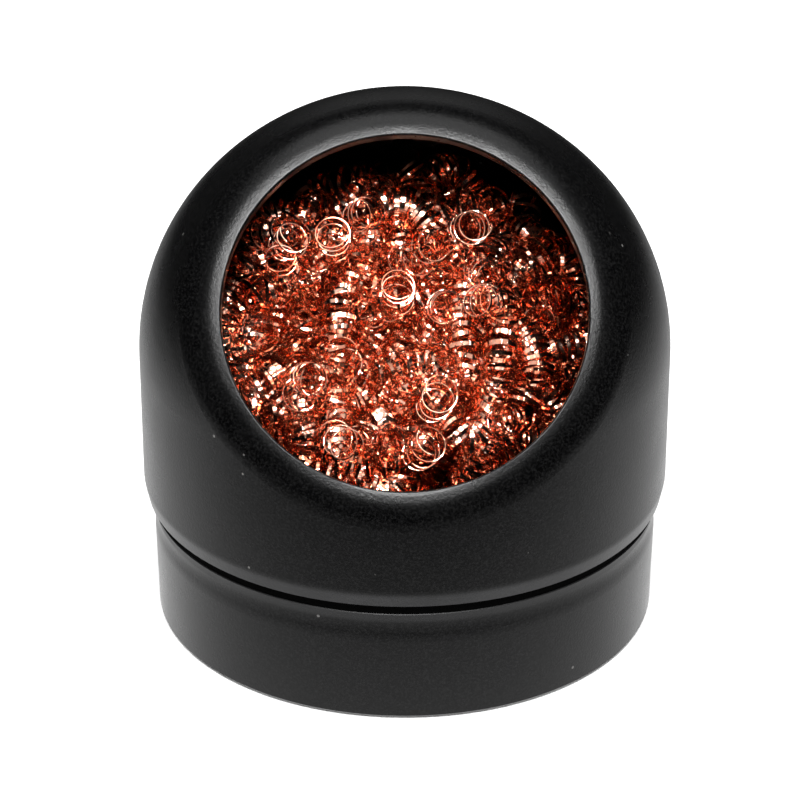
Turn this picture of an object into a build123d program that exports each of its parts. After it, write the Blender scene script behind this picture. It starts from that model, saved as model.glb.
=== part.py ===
from build123d import *
import math
import os

# Soldering-tip cleaner: a round metal case of two halves, packed with curled metal wool.
# Millimetres, +Z up, origin at the centre of the bottom face, mouth towards -Y.

# case, upper half (hood)
HOOD_R = 26.5
HOOD_BOTTOM_Z = 13.15
HOOD_WALL = 1.3
DOME_CENTRE_Z = 27.95
DOME_RISE = 25.7
HEM_R = 2.5
HEM_H = 1.8
HEM_TAPER = 12.0

# mouth of the hood
MOUTH_ELEVATION = 40.2
MOUTH_PLANE = 17.2
MOUTH_BEND_R = 5.0
MOUTH_R = 17.45
MOUTH_DROP = 0.95
MOUTH_EDGE_R = 0.2

# case, lower half (cup)
CUP_R_FOOT = 25.38
CUP_R_WAIST = 25.52
CUP_FOOT_Z = 0.15
CUP_FOOT_EDGE_R = 0.25
CUP_BORE_R = 22.8
CUP_FLOOR_Z = 3.0
CUP_FLOOR_FILLET = 2.0
WAIST_Z = 8.76
WAIST_R = 6.4
WAIST_TILT = 9.0
FLARE_R = 4.3
FLARE_TILT = 20.0
RIM_EDGE = 0.06
SPIGOT_R = 23.9
SPIGOT_TOP_Z = 18.5
SPIGOT_LEAD_IN = 0.5

# friction ring round the spigot: a flange that fills the seam, and a sleeve that grips the hood
RING_FIT = 0.05
RING_SLEEVE_R = 24.78
RING_FLANGE_R = 25.55
RING_TOP_Z = 16.2
RING_EDGE = 0.2

# non-slip pad in the underside
RECESS_R = 21.5
RECESS_Z = 1.2
PAD_R = 21.3
PAD_EDGE = 0.3

# wool: strands of curled ribbon, each curl wound up as a tube, two strands to a layer
CURL_R = 1.85
CURL_WALL = 0.15
BALL_R = 22.2
BALL_Z = 26.2
LAYER_COUNT = 8
LAYER_TOP = 8.15
LAYER_PITCH = 3.8
STRAND_PITCH = 3.9
LAYER_TURN = 67.0

ELEVATION = math.radians(MOUTH_ELEVATION)
DOME_CENTRE = Vector(0, 0, DOME_CENTRE_Z)
MOUTH_AXIS = Vector(0, -math.cos(ELEVATION), math.sin(ELEVATION))
MOUTH_UP = Vector(0, math.sin(ELEVATION), math.cos(ELEVATION))

# the cup's wall turns in at the waist, then flares out to the rim: the flare's arc and the rim's height
WAIST_CENTRE_R = CUP_R_WAIST - WAIST_R
FLARE_CENTRE_R = WAIST_CENTRE_R + (WAIST_R + FLARE_R) * math.cos(math.radians(WAIST_TILT))
FLARE_CENTRE_Z = WAIST_Z + (WAIST_R + FLARE_R) * math.sin(math.radians(WAIST_TILT))
RIM_R = FLARE_CENTRE_R - FLARE_R * math.cos(math.radians(FLARE_TILT))
RIM_Z = FLARE_CENTRE_Z + FLARE_R * math.sin(math.radians(FLARE_TILT)) + RIM_EDGE


def case_body(inset):
    """The hood as a filled shape, drawn in by inset, with its mouth cut flat and bent round."""
    radius = HOOD_R - inset
    hem = HEM_R - inset
    hem_centre_r = HOOD_R - HEM_R
    hem_centre_z = HOOD_BOTTOM_Z + HEM_H
    taper = math.radians(HEM_TAPER)
    taper_r = hem_centre_r + hem * math.cos(taper)
    taper_z = hem_centre_z - hem * math.sin(taper)
    foot_r = taper_r - (taper_z - HOOD_BOTTOM_Z) * math.tan(taper)
    with BuildPart() as body:
        with BuildSketch(Plane.XZ):
            with BuildLine():
                Polyline((0, HOOD_BOTTOM_Z), (foot_r, HOOD_BOTTOM_Z), (taper_r, taper_z))
                CenterArc((hem_centre_r, hem_centre_z), hem, -HEM_TAPER, HEM_TAPER)
                Line((radius, hem_centre_z), (radius, DOME_CENTRE_Z))
                EllipticalCenterArc((0, DOME_CENTRE_Z), radius, DOME_RISE - inset, start_angle=0, arc_size=90)
                Line((0, DOME_CENTRE_Z + DOME_RISE - inset), (0, HOOD_BOTTOM_Z))
            make_face()
        revolve(axis=Axis.Z)
        plane_point = DOME_CENTRE + MOUTH_AXIS * (MOUTH_PLANE - inset)
        cut = Plane(origin=plane_point, x_dir=(1, 0, 0), z_dir=MOUTH_AXIS)
        split(bisect_by=cut, keep=Keep.BOTTOM)
        face = body.faces().sort_by(Axis(tuple(DOME_CENTRE), tuple(MOUTH_AXIS)))[-1]
        fillet(face.edges(), MOUTH_BEND_R - inset)
    return body.part


def make_hood():
    shell = case_body(0) - case_body(HOOD_WALL)
    centre = DOME_CENTRE + MOUTH_AXIS * MOUTH_PLANE - MOUTH_UP * MOUTH_DROP
    place = Plane(origin=centre, x_dir=(1, 0, 0), z_dir=MOUTH_AXIS)
    hole = place * Cylinder(MOUTH_R, 4 * MOUTH_BEND_R)
    shell = shell - hole
    rim = [
        e
        for e in shell.edges().filter_by(GeomType.CIRCLE)
        if abs((e.arc_center - centre).length) < 0.01 and abs(e.radius - MOUTH_R) < 0.01
    ]
    return fillet(rim, MOUTH_EDGE_R)


def make_base_cup():
    floor_centre_r = CUP_BORE_R - CUP_FLOOR_FILLET
    floor_centre_z = CUP_FLOOR_Z + CUP_FLOOR_FILLET
    with BuildPart() as cup:
        with BuildSketch(Plane.XZ):
            with BuildLine():
                Polyline(
                    (0, RECESS_Z),
                    (RECESS_R, RECESS_Z),
                    (RECESS_R, CUP_FOOT_Z),
                    (CUP_R_FOOT - CUP_FOOT_EDGE_R, CUP_FOOT_Z),
                    (CUP_R_FOOT, CUP_FOOT_Z + CUP_FOOT_EDGE_R),
                    (CUP_R_WAIST, WAIST_Z),
                )
                CenterArc((WAIST_CENTRE_R, WAIST_Z), WAIST_R, 0, WAIST_TILT)
                CenterArc(
                    (FLARE_CENTRE_R, FLARE_CENTRE_Z),
                    FLARE_R,
                    180 + WAIST_TILT,
                    -(WAIST_TILT + FLARE_TILT),
                )
                Polyline(
                    (RIM_R, RIM_Z - RIM_EDGE),
                    (RIM_R - RIM_EDGE, RIM_Z),
                    (SPIGOT_R, RIM_Z),
                    (SPIGOT_R, SPIGOT_TOP_Z - SPIGOT_LEAD_IN),
                    (SPIGOT_R - SPIGOT_LEAD_IN, SPIGOT_TOP_Z),
                    (CUP_BORE_R, SPIGOT_TOP_Z),
                    (CUP_BORE_R, floor_centre_z),
                )
                CenterArc((floor_centre_r, floor_centre_z), CUP_FLOOR_FILLET, 0, -90)
                Polyline((floor_centre_r, CUP_FLOOR_Z), (0, CUP_FLOOR_Z), (0, RECESS_Z))
            make_face()
        revolve(axis=Axis.Z)
    return cup.part


def make_friction_ring():
    bottom = RIM_Z + RING_FIT
    flange_top = HOOD_BOTTOM_Z - RING_FIT
    upright = (Align.CENTER, Align.CENTER, Align.MIN)
    with BuildPart(Location((0, 0, bottom))) as ring:
        Cylinder(RING_SLEEVE_R, RING_TOP_Z - bottom, align=upright)
        chamfer(ring.edges().filter_by(GeomType.CIRCLE).sort_by(Axis.Z)[-1], RING_EDGE)
        Cylinder(RING_FLANGE_R, flange_top - bottom, align=upright)
        Cylinder(SPIGOT_R + RING_FIT, RING_TOP_Z - bottom, align=upright, mode=Mode.SUBTRACT)
    return ring.part


def make_foot_pad():
    with BuildPart() as pad:
        Cylinder(PAD_R, RECESS_Z, align=(Align.CENTER, Align.CENTER, Align.MIN))
        chamfer(pad.edges().sort_by(Axis.Z)[0], PAD_EDGE)
    return pad.part


def layer_radius(offset):
    """Radius that a layer of curls fills, at this height along the mouth axis."""
    ball_offset = -(DOME_CENTRE_Z - BALL_Z) * math.sin(ELEVATION)
    reach = abs(offset - ball_offset) + CURL_R
    return math.sqrt(BALL_R**2 - reach**2)


def make_strand(layer, arm):
    """One strand: a hollow tube wound outwards in half circles, beside its twin."""
    offset = LAYER_TOP - layer * LAYER_PITCH
    outer = layer_radius(offset)
    step = STRAND_PITCH / 2
    spare = outer - CURL_R - step - STRAND_PITCH
    grows = int(spare // STRAND_PITCH)
    first_r = outer - CURL_R - step - grows * STRAND_PITCH
    side_drift = -(DOME_CENTRE_Z - BALL_Z) * math.cos(ELEVATION)
    centre = DOME_CENTRE + MOUTH_AXIS * offset + MOUTH_UP * side_drift
    level = Plane(origin=centre, x_dir=(1, 0, 0), z_dir=MOUTH_AXIS)
    pieces = []
    for k in range(grows + 1):
        radius = first_r + k * STRAND_PITCH
        side = -1 if k % 2 == 0 else 1
        section = Circle(CURL_R) - Circle(CURL_R - CURL_WALL)
        # the half circle starts on the strand's own end of the cross-line and runs anticlockwise
        start = side * step - side * radius
        stand = Plane(origin=(start, 0, 0), x_dir=(1, 0, 0), z_dir=(0, 1, 0))
        turn_axis = Axis((side * step, 0, 0), (0, 0, 1))
        pieces.append(revolve(stand * section, axis=turn_axis, revolution_arc=180))
    strand = pieces[0] if len(pieces) == 1 else pieces[0].fuse(*pieces[1:])
    return Location(level) * Rot(Z=layer * LAYER_TURN + 180 * arm) * strand


os.makedirs("parts", exist_ok=True)
parts = {
    "hood": make_hood(),
    "base_cup": make_base_cup(),
    "friction_ring": make_friction_ring(),
    "foot_pad": make_foot_pad(),
}
for layer in range(LAYER_COUNT):
    for arm in range(2):
        parts[f"wool_strand_{2 * layer + arm + 1:02d}"] = make_strand(layer, arm)
for name, shape in parts.items():
    solids = shape.solids()
    export_step(shape, f"parts/{name}.step")
    print(name, len(solids), round(shape.volume, 1), shape.is_valid)
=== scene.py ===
"""Looks for the soldering-tip cleaner: painted case, rubber trim and a nest of curled copper-red ribbon.

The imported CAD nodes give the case, the ring and the pad. Each strand of wool is rebuilt as one long flat
ribbon, curled into a coil that wanders through the strand's own part of the nest. The two strands of the
top layer also have short loose curls, which stand up from the face of the nest.
"""

import math

import bpy
import numpy as np
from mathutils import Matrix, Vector


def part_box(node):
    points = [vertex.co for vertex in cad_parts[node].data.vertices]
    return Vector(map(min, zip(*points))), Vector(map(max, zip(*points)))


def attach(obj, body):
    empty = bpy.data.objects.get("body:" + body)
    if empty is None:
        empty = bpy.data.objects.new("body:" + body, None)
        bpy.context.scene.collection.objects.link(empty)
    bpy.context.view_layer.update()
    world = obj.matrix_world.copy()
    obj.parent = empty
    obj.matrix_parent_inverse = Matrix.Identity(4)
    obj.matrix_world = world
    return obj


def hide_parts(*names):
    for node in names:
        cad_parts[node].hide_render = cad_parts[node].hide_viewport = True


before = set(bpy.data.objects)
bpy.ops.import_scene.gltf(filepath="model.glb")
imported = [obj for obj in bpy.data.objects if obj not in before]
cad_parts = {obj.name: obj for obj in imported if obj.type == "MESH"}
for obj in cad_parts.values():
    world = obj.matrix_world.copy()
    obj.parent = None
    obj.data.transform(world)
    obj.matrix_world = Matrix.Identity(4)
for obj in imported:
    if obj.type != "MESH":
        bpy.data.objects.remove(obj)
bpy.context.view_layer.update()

MM = 0.001
TINY = 1e-6

# the nest, in millimetres, as the CAD part has it
DOME_CENTRE = np.array([0.0, 0.0, 27.95])
MOUTH_ELEVATION = math.radians(40.2)
MOUTH_AXIS = np.array([0.0, -math.cos(MOUTH_ELEVATION), math.sin(MOUTH_ELEVATION)])
MOUTH_UP = np.array([0.0, math.sin(MOUTH_ELEVATION), math.cos(MOUTH_ELEVATION)])
BALL_CENTRE = np.array([0.0, 0.0, 26.2])
BALL_R = 22.2
LAYERS = 8
LAYER_TOP = 8.15
LAYER_PITCH = 3.8
LAYER_TURN = 67.0
CURL_R = 1.85

# one seed for each thing that varies at random
SEED = 11
HILL_SEED = SEED + 1
LAYER_SEED = SEED + 2
PIT_SEED = SEED + 5
SPARE_SEED = SEED + 7

# sums of random waves: how many, and the range of their lengths as shares of the length asked for
FIELD_WAVES = 7
FIELD_SPREAD = (0.8, 1.6)
WALK_WAVES = 6
WALK_SPREAD = (0.6, 1.9)

# the face of the nest: hills, and a drop that starts and ends at these distances from its middle, which is
# this far across and up from the mouth's axis; distances across count for a little less
FACE_RISE = 0.5
HILL_HEIGHT = 1.6
HILL_LENGTH = 9.0
DROP_MIDDLE = (-5.0, -1.5)
DROP_ACROSS = 0.93
DROP_START = 14.0
DROP_END = 19.5
DROP_DEPTH = 8.0

# pits: their size across, how far they are drawn out along the mouth's axis, and the level that makes one
PIT_LENGTH = 8.5
PIT_DRAW = 0.85
PIT_LEVEL = 0.95

# routes of the strands: points tried and kept apart, wavy layers, and what a route's next point costs
POINT_TRIES = 26000
POINT_GAP = 3.05
LAYER_WAVE = 3.0
LAYER_WAVE_LENGTH = 22.0
TURN_COST = 2.2
LUCK_COST = 0.8
ROUTE_STEP = 0.12
ROUTE_SMOOTHING = 1.2

# the ribbon, in millimetres, and its curls
RIBBON_W = 0.36
RIBBON_T = 0.06
CURL_PITCH = 0.98
TURN_SEGMENTS = 24
CURL_SIZE = 0.86
CURL_SIZE_MAX = 1.02
TWIST = 0.25

# how the curls vary along a strand: the amount, and the length in millimetres over which it comes and goes
PITCH_SWAY = (0.5, 7.0)
SIZE_SWAY = (0.10, 5.0)
SIZE_RIPPLE = (0.03, 1.1)
LEAN_SWAY = (0.6, 8.0)
PHASE_SWAY = (3.0, 13.0)
SHIFT_SWAY = (0.14, 1.7)
TWIST_SWAY = (0.28, 3.0)
WIDTH_SWAY = (0.22, 5.0)

# loose curls that stand up from the face of the nest: millimetres across and up from the mouth's axis,
# and degrees that they lean sideways and nod down
LOOSE_CURLS = (
    (-12.0, 4.1, 0, -14),
    (-6.8, 6.6, -2, -14),
    (-0.8, 1.7, 2, -14),
    (-15.0, 8.8, 40, 0),
    (-14.4, -0.5, 8, 20),
    (5.5, 9.6, 15, 5),
    (9.0, 2.0, -25, 12),
    (13.6, 5.4, 20, 18),
    (2.5, -8.5, 12, -6),
    (-5.0, -12.5, -18, 8),
    (8.5, -9.5, 28, 14),
    (-9.8, -5.6, 16, 20),
)
LOOSE_LENGTH = 5.4
LOOSE_POINTS = 40
LOOSE_SINK = 0.4
LOOSE_BEND = 0.3
LOOSE_BEND_RATE = 0.6
LOOSE_PITCH = 1.6
LOOSE_WANDER = 0.3

# spare loose curls, at random: how many, how far out, and the ranges of their lean and nod in degrees
SPARE_CURLS = 22
SPARE_REACH = 15.0
SPARE_RADIUS = 15.5
SPARE_LEAN = 55.0
SPARE_NOD = (-30.0, 45.0)
LEAN_IN_FROM = 8.0

# each strand's tarnish is the same pattern, this much further on
TARNISH_SHIFT = 3.7

# painted highlights along edges of the case: the cup's rim, and how far the paler band of painted highlight
# reaches from rim and hem, in metres
RIM_Z = 0.01197
RIM_HIGHLIGHT_REACH = 0.0012
HEM_HIGHLIGHT_REACH = 0.0016


# ---------------------------------------------------------------- camera

FOCAL_PX = 3200.0
IMAGE_PX = 800.0
SENSOR_MM = 36.0
CAMERA_DISTANCE = 0.3229
CAMERA_ELEVATION = math.radians(27.17)
CAMERA_TARGET = Vector((-0.00048, 0.0, 0.02177))


def make_camera():
    data = bpy.data.cameras.new("camera")
    data.sensor_width = SENSOR_MM
    data.lens = FOCAL_PX / IMAGE_PX * SENSOR_MM
    data.clip_start = 0.01
    data.clip_end = 20.0
    camera = bpy.data.objects.new("camera", data)
    bpy.context.scene.collection.objects.link(camera)
    back = Vector((0, -math.cos(CAMERA_ELEVATION), math.sin(CAMERA_ELEVATION)))
    camera.location = CAMERA_TARGET + CAMERA_DISTANCE * back
    camera.rotation_euler = (math.pi / 2 - CAMERA_ELEVATION, 0, 0)
    bpy.context.scene.camera = camera


# ---------------------------------------------------------------- node helpers

def new_material(name):
    material = bpy.data.materials.new(name)
    material.use_nodes = True
    tree = material.node_tree
    shader = tree.nodes["Principled BSDF"]
    return material, tree, shader


def add(tree, kind, **values):
    """A new node; each value goes to the input of that name, or else to the setting of that name."""
    node = tree.nodes.new(kind)
    for key, value in values.items():
        if key in node.inputs:
            node.inputs[key].default_value = value
        else:
            setattr(node, key, value)
    return node


def feed(tree, socket, source):
    """Link source to socket if it is a node's output, or else make it the socket's value."""
    if isinstance(source, bpy.types.NodeSocket):
        tree.links.new(source, socket)
    else:
        socket.default_value = source


def ramp(tree, source, stops):
    """A colour ramp's colour, for a source and stops of a place and a colour."""
    node = tree.nodes.new("ShaderNodeValToRGB")
    elements = node.color_ramp.elements
    while len(elements) < len(stops):
        elements.new(0.5)
    for element, (place, colour) in zip(elements, stops):
        element.position = place
        element.color = (*colour, 1.0)
    tree.links.new(source, node.inputs["Fac"])
    return node.outputs["Color"]


def map_range(tree, source, span, values, kind="LINEAR"):
    node = add(tree, "ShaderNodeMapRange", interpolation_type=kind)
    node.inputs["From Min"].default_value, node.inputs["From Max"].default_value = span
    node.inputs["To Min"].default_value, node.inputs["To Max"].default_value = values
    tree.links.new(source, node.inputs["Value"])
    return node.outputs["Result"]


def calculate(tree, operation, *terms):
    node = add(tree, "ShaderNodeMath", operation=operation)
    for socket, term in zip(node.inputs, terms):
        feed(tree, socket, term)
    return node.outputs[0]


def mix(tree, factor, first, second, kind="RGBA", blend="MIX"):
    node = add(tree, "ShaderNodeMix", data_type=kind, blend_type=blend)
    feed(tree, node.inputs["Factor"], factor)
    feed(tree, node.inputs["A"], first)
    feed(tree, node.inputs["B"], second)
    return node.outputs["Result"]


def noise(tree, place, scale, detail, roughness, shift=None):
    """A noise texture's strength at place; each shift gives another pattern of the same kind."""
    node = add(tree, "ShaderNodeTexNoise", Scale=scale, Detail=detail, Roughness=roughness)
    if shift is not None:
        node.noise_dimensions = "4D"
        node.inputs["W"].default_value = shift
    tree.links.new(place, node.inputs["Vector"])
    return node.outputs["Fac"]


def separate(tree, place):
    """The outputs X, Y and Z of a place."""
    node = add(tree, "ShaderNodeSeparateXYZ")
    tree.links.new(place, node.inputs["Vector"])
    return node.outputs


def roughen(tree, shader, height, strength, depth):
    """Relief without geometry, from a height of 0 to 1 and a depth in metres."""
    bump = add(tree, "ShaderNodeBump", Strength=strength, Distance=depth)
    tree.links.new(height, bump.inputs["Height"])
    tree.links.new(bump.outputs["Normal"], shader.inputs["Normal"])


def grey(value):
    return (value, value, value)


# ---------------------------------------------------------------- materials

def paint_tone(tree, peel, patch):
    """The black of the powder coat: mottled in patches, with paler grit on the crests of the orange peel."""
    mottle = ramp(tree, patch, [(0.3, (0.0001, 0.0001, 0.0002)), (0.7, (0.0005, 0.0005, 0.0006))])
    grit = ramp(tree, peel, [(0.44, grey(0.0)), (0.7, grey(0.0052))])
    return mix(tree, 1.0, mottle, grit, blend="ADD")


def paint_specks(tree, place):
    """Where the coat has a pale speck: small round spots in a few of the cells."""
    cells = add(tree, "ShaderNodeTexVoronoi", Scale=420.0, Randomness=1.0)
    tree.links.new(place, cells.inputs["Vector"])
    spots = ramp(tree, cells.outputs["Distance"], [(0.0, grey(1.0)), (0.05, grey(1.0)), (0.075, grey(0.0))])
    few = ramp(tree, cells.outputs["Color"], [(0.68, grey(0.0)), (0.72, grey(1.0))])
    return calculate(tree, "MULTIPLY", spots, few)


def edge_highlight_band(tree, place, patch, highlight_span):
    """How strong the painted highlight band is: most in the middle of the span of heights, and patchy."""
    middle, reach = (highlight_span[0] + highlight_span[1]) / 2, (highlight_span[1] - highlight_span[0]) / 2
    away = calculate(tree, "SUBTRACT", separate(tree, place)["Z"], middle)
    distance = calculate(tree, "ABSOLUTE", away)
    band_strength = map_range(tree, distance, (reach * 0.55, reach), (1.0, 0.0), "SMOOTHSTEP")
    uneven = ramp(tree, patch, [(0.25, grey(0.55)), (0.65, grey(1.0))])
    return calculate(tree, "MULTIPLY", band_strength, uneven)


def painted_case(name, shift, highlight_span, highlight_tone, band_rough):
    """Black powder coat: fine orange peel, mottled gloss, sparse pale specks, and a paler band along one edge
    that is a painted highlight.

    highlight_span is the span of heights, in metres, of that painted highlight; highlight_tone and band_rough
    are its brightness and roughness there."""
    material, tree, shader = new_material(name)
    place = add(tree, "ShaderNodeTexCoord").outputs["Object"]
    peel = noise(tree, place, scale=4200.0, detail=3.0, roughness=0.6)
    patch = noise(tree, place, scale=160.0, detail=4.0, roughness=0.55, shift=shift)
    highlight_band = edge_highlight_band(tree, place, patch, highlight_span)
    paint = mix(tree, paint_specks(tree, place), paint_tone(tree, peel, patch), (0.09, 0.088, 0.084, 1.0))
    # paler band along the hem or the rim: painted highlight, standing in for the light those edges catch
    colour = mix(tree, highlight_band, paint, (highlight_tone, highlight_tone, highlight_tone * 1.03, 1.0))
    tree.links.new(colour, shader.inputs["Base Color"])
    gloss = ramp(tree, patch, [(0.3, grey(0.25)), (0.7, grey(0.31))])
    tree.links.new(mix(tree, highlight_band, gloss, band_rough, kind="FLOAT"), shader.inputs["Roughness"])
    roughen(tree, shader, peel, strength=0.22, depth=0.00010)
    shader.inputs["Specular IOR Level"].default_value = 0.33
    return material


def rubber(name, tone, scale, sheen):
    """Matt black rubber with a fine grain."""
    material, tree, shader = new_material(name)
    place = add(tree, "ShaderNodeTexCoord").outputs["Object"]
    grain = noise(tree, place, scale, detail=4.0, roughness=0.65)
    colour = ramp(tree, grain, [(0.3, grey(tone * 0.75)), (0.7, grey(tone * 1.3))])
    tree.links.new(colour, shader.inputs["Base Color"])
    dull = ramp(tree, grain, [(0.3, grey(0.72)), (0.7, grey(0.88))])
    tree.links.new(dull, shader.inputs["Roughness"])
    roughen(tree, shader, grain, strength=0.4, depth=0.0001)
    shader.inputs["Specular IOR Level"].default_value = sheen
    return material


COPPERS = (
    (0.28, (0.60, 0.12, 0.05)),
    (0.43, (0.82, 0.32, 0.19)),
    (0.57, (0.94, 0.56, 0.42)),
    (0.72, (0.98, 0.72, 0.60)),
)


def wool_metal(name, shift):
    """Bright copper-red ribbon: tarnish in patches, and a fine grain in its gloss and its relief."""
    material, tree, shader = new_material(name)
    place = add(tree, "ShaderNodeTexCoord").outputs["Object"]
    tarnish = noise(tree, place, scale=220.0, detail=5.0, roughness=0.65, shift=shift)
    grain = noise(tree, place, scale=2400.0, detail=3.0, roughness=0.6)
    tree.links.new(ramp(tree, tarnish, COPPERS), shader.inputs["Base Color"])
    gloss = ramp(tree, grain, [(0.3, grey(0.06)), (0.7, grey(0.17))])
    tree.links.new(gloss, shader.inputs["Roughness"])
    roughen(tree, shader, grain, strength=0.35, depth=0.00003)
    shader.inputs["Metallic"].default_value = 1.0
    shader.inputs["Specular Tint"].default_value = (0.95, 0.50, 0.34, 1.0)
    return material


# ---------------------------------------------------------------- smooth randomness

def smooth_field(points, seed, size):
    """A smooth field of about -1 to 1 over points, from a few random waves of about this length."""
    waves = np.random.default_rng(seed)
    total = np.zeros(len(points))
    for _ in range(FIELD_WAVES):
        direction = waves.normal(size=3)
        direction /= np.linalg.norm(direction)
        wavelength = size * waves.uniform(*FIELD_SPREAD)
        total += np.sin(points @ direction * 2 * math.pi / wavelength + waves.uniform(0, 2 * math.pi))
    return total / math.sqrt(FIELD_WAVES)


def smooth_walk(count, step, size, seed):
    """count values of a smooth random line, about -1 to 1, with bumps about size long at this step."""
    waves = np.random.default_rng(seed)
    place = np.arange(count) * step
    total = np.zeros(count)
    for _ in range(WALK_WAVES):
        wavelength = size * waves.uniform(*WALK_SPREAD)
        total += np.sin(place * 2 * math.pi / wavelength + waves.uniform(0, 2 * math.pi))
    return total / math.sqrt(WALK_WAVES)


def sway(rule, count, step, seed, scale=1.0):
    """A smooth random line whose amount and length are given by rule, with the amount scaled."""
    amount, length = rule
    return scale * amount * smooth_walk(count, step, length, seed)


def ease(values, start, end):
    """0 up to start, 1 from end on, and a smooth step between them."""
    share = np.clip((values - start) / (end - start), 0, 1)
    return share * share * (3 - 2 * share)


# ---------------------------------------------------------------- the nest's shape and points

def height_along(points):
    """How far points lie along the mouth's axis from the dome's centre."""
    return (points - DOME_CENTRE) @ MOUTH_AXIS


def nest_top(points):
    """How far along the axis the centre of a curl may lie: hilly, and lower towards the upper right."""
    offset = points - DOME_CENTRE
    reach = np.hypot(DROP_ACROSS * (offset[:, 0] - DROP_MIDDLE[0]), offset @ MOUTH_UP - DROP_MIDDLE[1])
    hills = HILL_HEIGHT * smooth_field(points, HILL_SEED, HILL_LENGTH)
    return LAYER_TOP + FACE_RISE + hills - DROP_DEPTH * ease(reach, DROP_START, DROP_END)


def pits(points):
    """Where the nest has a pit: a shaft along the mouth's axis with no curls in it."""
    offset = points - DOME_CENTRE
    flat = offset - np.outer(PIT_DRAW * (offset @ MOUTH_AXIS), MOUTH_AXIS)
    return smooth_field(flat, PIT_SEED, PIT_LENGTH) > PIT_LEVEL


def block_round(cell):
    """A cell of the grid and the 26 that touch it."""
    steps = (-1, 0, 1)
    return [(cell[0] + dx, cell[1] + dy, cell[2] + dz) for dx in steps for dy in steps for dz in steps]


def scatter_points(dice):
    """Points that fill the nest evenly, each at least POINT_GAP from the others."""
    reach = BALL_R - CURL_R
    tries = dice.uniform(-reach, reach, size=(POINT_TRIES, 3))
    tries = tries[np.linalg.norm(tries, axis=1) < reach] + BALL_CENTRE
    tries = tries[height_along(tries) < nest_top(tries)]
    tries = tries[~pits(tries)]
    cells = {}
    kept = []
    for point in tries:
        cell = tuple(np.floor(point / POINT_GAP).astype(int))
        near = [other for touching in block_round(cell) for other in cells.get(touching, ())]
        if all(np.sum((point - other) ** 2) >= POINT_GAP**2 for other in near):
            cells.setdefault(cell, []).append(point)
            kept.append(point)
    return np.array(kept)


def layer_of(points):
    """The layer that each point is in, counted down from the face of the nest; the layers are wavy."""
    wave = LAYER_WAVE * smooth_field(points, LAYER_SEED, LAYER_WAVE_LENGTH)
    layer = np.round((LAYER_TOP - height_along(points) - wave) / LAYER_PITCH).astype(int)
    return np.clip(layer, 0, LAYERS - 1)


# ---------------------------------------------------------------- routes of the strands

def order_points(points, start, dice):
    """Two routes through points, each going on to a near one that doesn't turn it back."""
    left = list(range(len(points)))
    routes = []
    for side in (1, -1):
        first = max(left, key=lambda i: side * points[i] @ start)
        left.remove(first)
        routes.append([first])
    heading = [None, None]
    while left:
        for k, route in enumerate(routes):
            if not left:
                break
            here = points[route[-1]]
            ways = points[left] - here
            length = np.linalg.norm(ways, axis=1)
            cost = length.copy()
            if heading[k] is not None:
                cost += TURN_COST * (1 - (ways @ heading[k]) / np.maximum(length, TINY))
            pick = int(np.argmin(cost + dice.uniform(0, LUCK_COST, len(cost))))
            heading[k] = ways[pick] / max(length[pick], TINY)
            route.append(left.pop(pick))
    return [points[r] for r in routes]


def spline(points, step):
    """A Catmull-Rom curve through points, smoothed a little and sampled about every step."""
    ends = np.vstack([2 * points[0] - points[1], points, 2 * points[-1] - points[-2]])
    pieces = []
    for i in range(1, len(ends) - 2):
        a, b, c, d = ends[i - 1], ends[i], ends[i + 1], ends[i + 2]
        count = max(3, int(np.linalg.norm(c - b) / step))
        t = np.linspace(0, 1, count, endpoint=False)[:, None]
        pieces.append(
            0.5 * (2 * b + (c - a) * t + (2 * a - 5 * b + 4 * c - d) * t**2 + (3 * b - a - 3 * c + d) * t**3)
        )
    path = np.vstack(pieces)
    width = max(3, int(ROUTE_SMOOTHING / step))
    kernel = np.hanning(width + 2)[1:-1]
    kernel /= kernel.sum()
    padded = np.vstack([np.repeat(path[:1], width, 0), path, np.repeat(path[-1:], width, 0)])
    path = np.stack([np.convolve(padded[:, k], kernel, mode="same") for k in range(3)], 1)[width:-width]
    return resample(path, step)


def resample(path, step):
    """Points along path, evenly spaced at about this step."""
    lengths = np.concatenate([[0], np.cumsum(np.linalg.norm(np.diff(path, axis=0), axis=1))])
    places = np.linspace(0, lengths[-1], int(lengths[-1] / step))
    return np.stack([np.interp(places, lengths, path[:, k]) for k in range(3)], 1)


def carried_frames(path):
    """Tangent and two cross directions along path, carried along it without twist."""
    tangent = np.gradient(path, axis=0)
    tangent /= np.linalg.norm(tangent, axis=1)[:, None]
    normal = np.zeros_like(path)
    slanting = np.array([0.3, 0.5, 0.8])
    here = slanting - tangent[0] * (slanting @ tangent[0])
    for i, t in enumerate(tangent):
        here = here - t * (here @ t)
        here /= np.linalg.norm(here)
        normal[i] = here
    return tangent, normal, np.cross(tangent, normal)


# ---------------------------------------------------------------- curls

def coil_turns(count, step, seed, pitch_scale, wander):
    """How far the coil has turned at each of count steps, in radians, as its pitch comes and goes."""
    pitch = pitch_scale * CURL_PITCH * np.exp(sway(PITCH_SWAY, count, step, seed, wander))
    return np.cumsum(2 * math.pi * step / pitch)


def coil_radius(count, step, seed, wander):
    size = CURL_SIZE + sway(SIZE_SWAY, count, step, seed + 1, wander)
    size += sway(SIZE_RIPPLE, count, step, seed + 2, wander)
    return CURL_R * np.minimum(size, CURL_SIZE_MAX)


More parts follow.
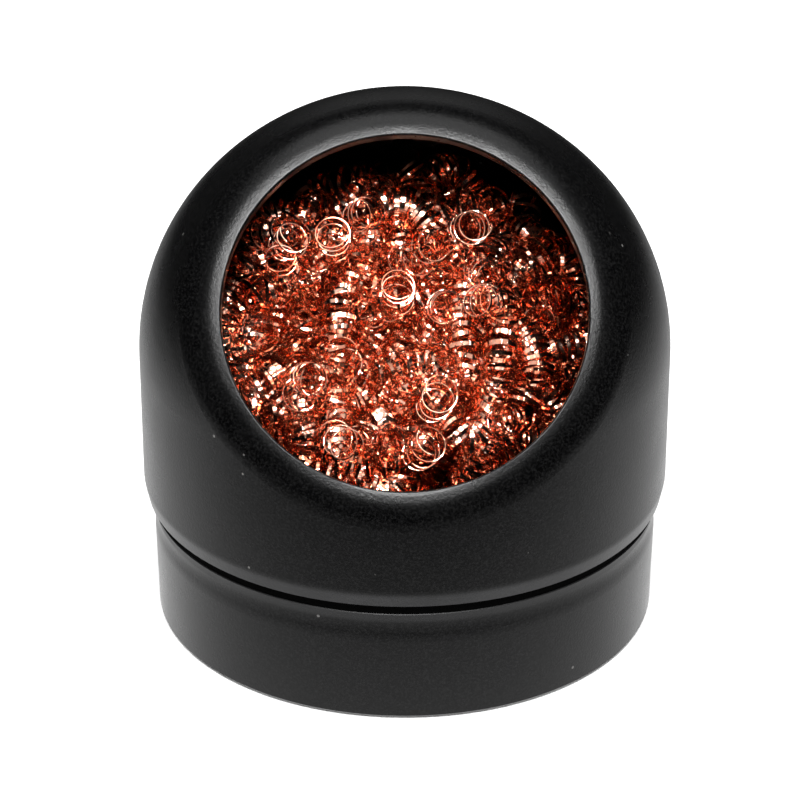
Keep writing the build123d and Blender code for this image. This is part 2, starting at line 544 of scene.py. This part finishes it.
def curl_along(path, seed, pitch_scale=1.0, wander=1.0, flat=TWIST):
    """The corners of the ribbon's section at each step as it coils round path.

    wander scales what varies from curl to curl, and flat is the section's mean twist in radians."""
    step = np.linalg.norm(path[1] - path[0])
    count = len(path)
    turn = coil_turns(count, step, seed, pitch_scale, wander)
    fine_count = int(turn[-1] / (2 * math.pi) * TURN_SEGMENTS)
    fine_step = CURL_PITCH / TURN_SEGMENTS
    angle = np.linspace(turn[0], turn[-1], fine_count)
    place = np.interp(angle, turn, np.arange(count))

    def at(values):
        if values.ndim == 1:
            return np.interp(place, np.arange(count), values)
        return np.stack([np.interp(place, np.arange(count), values[:, k]) for k in range(3)], 1)

    def fine_sway(rule, place_in_seeds, scale=1.0):
        return sway(rule, fine_count, fine_step, seed + place_in_seeds, scale)

    centre = at(path)
    along, side, up = (at(direction) for direction in carried_frames(path))
    radius = at(coil_radius(count, step, seed, wander))[:, None]
    out = side * np.cos(angle)[:, None] + up * np.sin(angle)[:, None]
    lean = fine_sway(LEAN_SWAY, 3, wander) * np.sin(angle + fine_sway(PHASE_SWAY, 4))
    shift = [fine_sway(SHIFT_SWAY, 6 + k, wander)[:, None] for k in range(2)]
    middle = centre + out * radius + along * lean[:, None]
    middle += side * shift[0] + up * shift[1]
    twist = (flat + fine_sway(TWIST_SWAY, 5, wander))[:, None]
    width = RIBBON_W * (1 + fine_sway(WIDTH_SWAY, 9))[:, None]
    broad = (along * np.cos(twist) + out * np.sin(twist)) * width / 2
    thin = (out * np.cos(twist) - along * np.sin(twist)) * RIBBON_T / 2
    corners = [middle + broad + thin, middle - broad + thin, middle - broad - thin, middle + broad - thin]
    return np.stack(corners, 1)


def loose_curl(across, up, lean, nod, seed):
    """A short open coil on the face of the nest, seen nearly end on."""
    base = DOME_CENTRE + MOUTH_UP * up + np.array([across, 0, 0])
    lean, nod = math.radians(lean), math.radians(nod)
    heading = MOUTH_AXIS + np.array([math.tan(lean), 0, 0]) - MOUTH_UP * math.tan(nod)
    heading /= np.linalg.norm(heading)
    face = base + MOUTH_AXIS * LAYER_TOP
    foot = float(nest_top(face[None])[0]) - LOOSE_SINK
    reach = np.linspace(0, LOOSE_LENGTH, LOOSE_POINTS)[:, None]
    bend = MOUTH_UP * LOOSE_BEND * np.sin(reach * LOOSE_BEND_RATE + seed)
    path = base + MOUTH_AXIS * foot + heading * reach + bend
    return curl_along(path, seed, pitch_scale=LOOSE_PITCH, wander=LOOSE_WANDER, flat=0.0)


def all_loose_curls():
    """The chosen curls, and the spare ones that lie at random on the face; the outer ones lean inward."""
    dice = np.random.default_rng(SPARE_SEED)
    places = list(LOOSE_CURLS)
    while len(places) < len(LOOSE_CURLS) + SPARE_CURLS:
        across, up = dice.uniform(-SPARE_REACH, SPARE_REACH, 2)
        lean, nod = dice.uniform(-SPARE_LEAN, SPARE_LEAN), dice.uniform(*SPARE_NOD)
        if abs(across) > LEAN_IN_FROM:
            lean = -math.copysign(lean, across)
        if math.hypot(across, up) < SPARE_RADIUS:
            places.append((across, up, lean, nod))
    return places


# ---------------------------------------------------------------- meshes and strands

def ribbon_quads(ribbons):
    """The faces of closed ribbons whose corners follow each other, four to a section."""
    quads = []
    first = 0
    for corners in ribbons:
        count = len(corners)
        base = first + np.arange(count - 1)[:, None] * 4
        for k in range(4):
            j = (k + 1) % 4
            quads.append(np.hstack([base + k, base + k + 4, base + j + 4, base + j]))
        last = first + 4 * count - 4
        start_cap = [first, first + 1, first + 2, first + 3]
        end_cap = [last + 3, last + 2, last + 1, last]
        quads.append(np.array([start_cap, end_cap]))
        first += 4 * count
    return np.vstack(quads)


def sharpen_lengthwise(mesh):
    """Mark as sharp the edges that run along a ribbon, from a corner to the same corner further on."""
    ends = np.empty(len(mesh.edges) * 2, np.int32)
    mesh.edges.foreach_get("vertices", ends)
    ends = ends.reshape(-1, 2)
    mesh.edges.foreach_set("use_edge_sharp", ends[:, 0] % 4 == ends[:, 1] % 4)


def ribbon_mesh(name, ribbons):
    """Closed ribbons with a rectangular section, smooth along their length and sharp across their edges."""
    quads = ribbon_quads(ribbons)
    corners = np.vstack(ribbons).reshape(-1)
    mesh = bpy.data.meshes.new(name)
    mesh.vertices.add(len(corners) // 3)
    mesh.vertices.foreach_set("co", (corners * MM).astype(np.float32))
    mesh.loops.add(quads.size)
    mesh.loops.foreach_set("vertex_index", quads.reshape(-1).astype(np.int32))
    mesh.polygons.add(len(quads))
    mesh.polygons.foreach_set("loop_start", np.arange(0, quads.size, 4, dtype=np.int32))
    mesh.update(calc_edges=True)
    mesh.validate()
    mesh.polygons.foreach_set("use_smooth", np.ones(len(mesh.polygons), bool))
    sharpen_lengthwise(mesh)
    mesh.update()
    return mesh


def make_strand(number, ribbons):
    """One strand of ribbon in place of the CAD strand of the same number."""
    name = f"wool_strand_{number:02d}"
    strand = bpy.data.objects.new(f"{name}_ribbon", ribbon_mesh(f"{name}_ribbon", ribbons))
    bpy.context.scene.collection.objects.link(strand)
    strand.data.materials.append(wool_metal(f"wool_metal_{number:02d}", number * TARNISH_SHIFT))
    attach(strand, "wool")
    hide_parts(name)
    return strand


def make_wool():
    """All the strands, two to a layer; the two of the top layer share out the loose curls."""
    dice = np.random.default_rng(SEED)
    points = scatter_points(dice)
    layer = layer_of(points)
    across = np.cross(MOUTH_AXIS, [1.0, 0, 0])
    strands = []
    for k in range(LAYERS):
        angle = math.radians(LAYER_TURN * k)
        start = np.array([math.cos(angle), 0, 0]) + across * math.sin(angle)
        for route in order_points(points[layer == k], start, dice):
            number = len(strands) + 1
            ribbons = [curl_along(spline(route, ROUTE_STEP), SEED + 100 * number)]
            if k == 0:
                half = all_loose_curls()[number - 1 :: 2]
                ribbons += [loose_curl(*place, SEED + 1000 * number + i) for i, place in enumerate(half)]
            strands.append(make_strand(number, ribbons))
    print("wool points", len(points), "faces", [len(strand.data.polygons) for strand in strands])
    return strands


# ---------------------------------------------------------------- stage

# the stage, in metres: the floor and its reflection reach this far, and the lamps aim at this place
STAGE_REACH = 6.0
STAGE_MIDDLE = (0.0, 0.0, 0.03)
REFLECTION_DROP = 0.0002

# the floor that glossy surfaces see: tones outward from the foot, as shares of a reach in metres, and the
# share that is left in front of the foot
GLOW_REACH = 0.3
GLOW_TONES = ((0.087, grey(0.82)), (0.4, grey(0.27)), (0.75, grey(0.008)))
GLOW_POWER = 1.6
GLOW_FRONT_SHARE = 0.28
GLOW_FRONT = (-0.065, -0.008)

# the room that glossy surfaces see: tones by the sine of the height, on a strip at the rear, and a dim rest
WALL_TONES = ((0.0, grey(0.05)), (0.12, grey(0.09)), (0.38, grey(0.2)), (0.6, grey(0.0)))
WALL_REAR = (0.2, 0.9)
WALL_SIDES = (0.1, 0.42)
DIM_ROOM = 0.012

# the key lamp: its distance from the middle and its height above the horizon
KEY_DISTANCE = 0.8
KEY_RISE = math.radians(57.0)

# lamps for the wool: degrees round from the front, degrees up, size in metres and watts
WOOL_LAMP_DISTANCE = 0.5
WOOL_LAMPS = (
    (-42, 46, 0.03, 0.6),
    (34, 50, 0.03, 0.6),
    (-14, 66, 0.03, 0.6),
    (58, 34, 0.03, 0.5),
    (-74, 48, 0.03, 0.5),
    (6, 36, 0.03, 0.4),
    (100, 58, 0.03, 0.5),
    (-26, 22, 0.03, 0.45),
    (24, 20, 0.03, 0.45),
    (-50, 45, 0.7, 1.2),
    (55, 42, 0.6, 0.85),
    (0, 75, 0.6, 0.85),
)


def area_light(name, place, aim, width, height, power):
    data = bpy.data.lights.new(name, "AREA")
    data.shape = "RECTANGLE"
    data.size = width
    data.size_y = height
    data.energy = power
    light = bpy.data.objects.new(name, data)
    bpy.context.scene.collection.objects.link(light)
    light.location = place
    light.rotation_euler = (Vector(aim) - Vector(place)).to_track_quat("-Z", "Y").to_euler()
    return light


def plane(name, size, material):
    corners = [(-size, -size, 0), (size, -size, 0), (size, size, 0), (-size, size, 0)]
    mesh = bpy.data.meshes.new(name)
    mesh.from_pydata(corners, [], [(0, 1, 2, 3)])
    mesh.materials.append(material)
    sheet = bpy.data.objects.new(name, mesh)
    bpy.context.scene.collection.objects.link(sheet)
    return sheet


def make_floor():
    """White matt paper, which glossy surfaces don't see."""
    paper, _, shader = new_material("floor_paper")
    shader.inputs["Base Color"].default_value = (0.92, 0.92, 0.92, 1.0)
    shader.inputs["Roughness"].default_value = 0.9
    shader.inputs["Specular IOR Level"].default_value = 0.1
    floor = plane("floor", STAGE_REACH, paper)
    floor.visible_glossy = False


def make_floor_reflection():
    """What glossy surfaces see below the horizon: bright round the foot, dim far off and in front."""
    glow, tree, _ = new_material("floor_reflection")
    place = add(tree, "ShaderNodeTexCoord").outputs["Object"]
    away = add(tree, "ShaderNodeVectorMath", operation="LENGTH")
    tree.links.new(place, away.inputs[0])
    far = map_range(tree, away.outputs["Value"], (0.0, GLOW_REACH), (0.0, 1.0))
    near = ramp(tree, far, GLOW_TONES)
    powers = (GLOW_FRONT_SHARE * GLOW_POWER, GLOW_POWER)
    front = map_range(tree, separate(tree, place)["Y"], GLOW_FRONT, powers)
    emit = add(tree, "ShaderNodeEmission")
    tree.links.new(calculate(tree, "MULTIPLY", near, front), emit.inputs["Strength"])
    out = next(n for n in tree.nodes if n.type == "OUTPUT_MATERIAL")
    tree.links.new(emit.outputs["Emission"], out.inputs["Surface"])
    mirror = plane("floor_reflection", STAGE_REACH, glow)
    mirror.location.z = -REFLECTION_DROP
    mirror.visible_camera = False
    mirror.visible_diffuse = False
    mirror.visible_shadow = False


def make_world():
    """White all round for matt surfaces and the camera, but dim with a grey rear strip for glossy ones."""
    world = bpy.data.worlds.new("studio")
    world.use_nodes = True
    tree = world.node_tree
    background = tree.nodes["Background"]
    way = separate(tree, add(tree, "ShaderNodeTexCoord").outputs["Generated"])
    rise = ramp(tree, way["Z"], WALL_TONES)
    rear = map_range(tree, way["Y"], WALL_REAR, (0.0, 1.0), "SMOOTHSTEP")
    aside = calculate(tree, "ABSOLUTE", way["X"])
    centre = map_range(tree, aside, WALL_SIDES, (1.0, 0.0), "SMOOTHSTEP")
    wall = calculate(tree, "MULTIPLY", rise, calculate(tree, "MULTIPLY", centre, rear))
    room = calculate(tree, "ADD", wall, DIM_ROOM)
    glossy = add(tree, "ShaderNodeLightPath").outputs["Is Glossy Ray"]
    tree.links.new(mix(tree, glossy, (1.0, 1.0, 1.0, 1.0), room), background.inputs["Color"])
    background.inputs["Strength"].default_value = 1.0
    bpy.context.scene.world = world


def make_lamps():
    """The key softbox, high in front, and a larger dim one overhead."""
    key_place = (0.0, -KEY_DISTANCE * math.cos(KEY_RISE), STAGE_MIDDLE[2] + KEY_DISTANCE * math.sin(KEY_RISE))
    area_light("key_softbox", key_place, STAGE_MIDDLE, width=0.40, height=0.22, power=8.0)
    area_light("overhead_softbox", (0.0, 0.05, 0.95), STAGE_MIDDLE, width=0.8, height=0.5, power=2.2)


def light_wool(strands):
    """Lamps that only the wool takes light from, for the sparkle of its ribbons."""
    takers = bpy.data.collections.new("wool_takes_light")
    for strand in strands:
        takers.objects.link(strand)
    middle = np.array(STAGE_MIDDLE)
    for k, (turn, rise, size, power) in enumerate(WOOL_LAMPS):
        turn, rise = math.radians(turn), math.radians(rise)
        way = np.array([math.sin(turn) * math.cos(rise), -math.cos(turn) * math.cos(rise), math.sin(rise)])
        lamp = area_light(f"wool_lamp_{k + 1}", middle + WOOL_LAMP_DISTANCE * way, middle, size, size, power)
        lamp.light_linking.receiver_collection = takers


# ---------------------------------------------------------------- scene

def paint_case():
    """Give the case, the ring and the pad their materials."""
    hem_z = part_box("hood")[0][2]
    hem = (hem_z - HEM_HIGHLIGHT_REACH, hem_z + HEM_HIGHLIGHT_REACH)
    rim = (RIM_Z - RIM_HIGHLIGHT_REACH, RIM_Z + RIM_HIGHLIGHT_REACH)
    for node, material in (
        # the paler bands at the hood's hem and the cup's rim are painted highlights
        ("hood", painted_case("case_paint_hood", shift=1.0, highlight_span=hem, highlight_tone=0.020, band_rough=0.3)),
        ("base_cup", painted_case("case_paint_cup", shift=5.0, highlight_span=rim, highlight_tone=0.012, band_rough=0.5)),
        # the ring is black rubber, but its colour and sheen are turned down to almost nothing so that its
        # flange in the gap under the hem shows as the seam's shadow: painted shade
        ("friction_ring", rubber("ring_rubber", tone=0.0008, scale=3000.0, sheen=0.02)),
        ("foot_pad", rubber("pad_rubber", tone=0.006, scale=1500.0, sheen=0.12)),
    ):
        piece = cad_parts[node]
        piece.data.materials.clear()
        piece.data.materials.append(material)


bpy.context.scene.view_settings.view_transform = "Standard"
make_camera()
make_floor()
make_floor_reflection()
make_world()
make_lamps()
paint_case()
light_wool(make_wool())
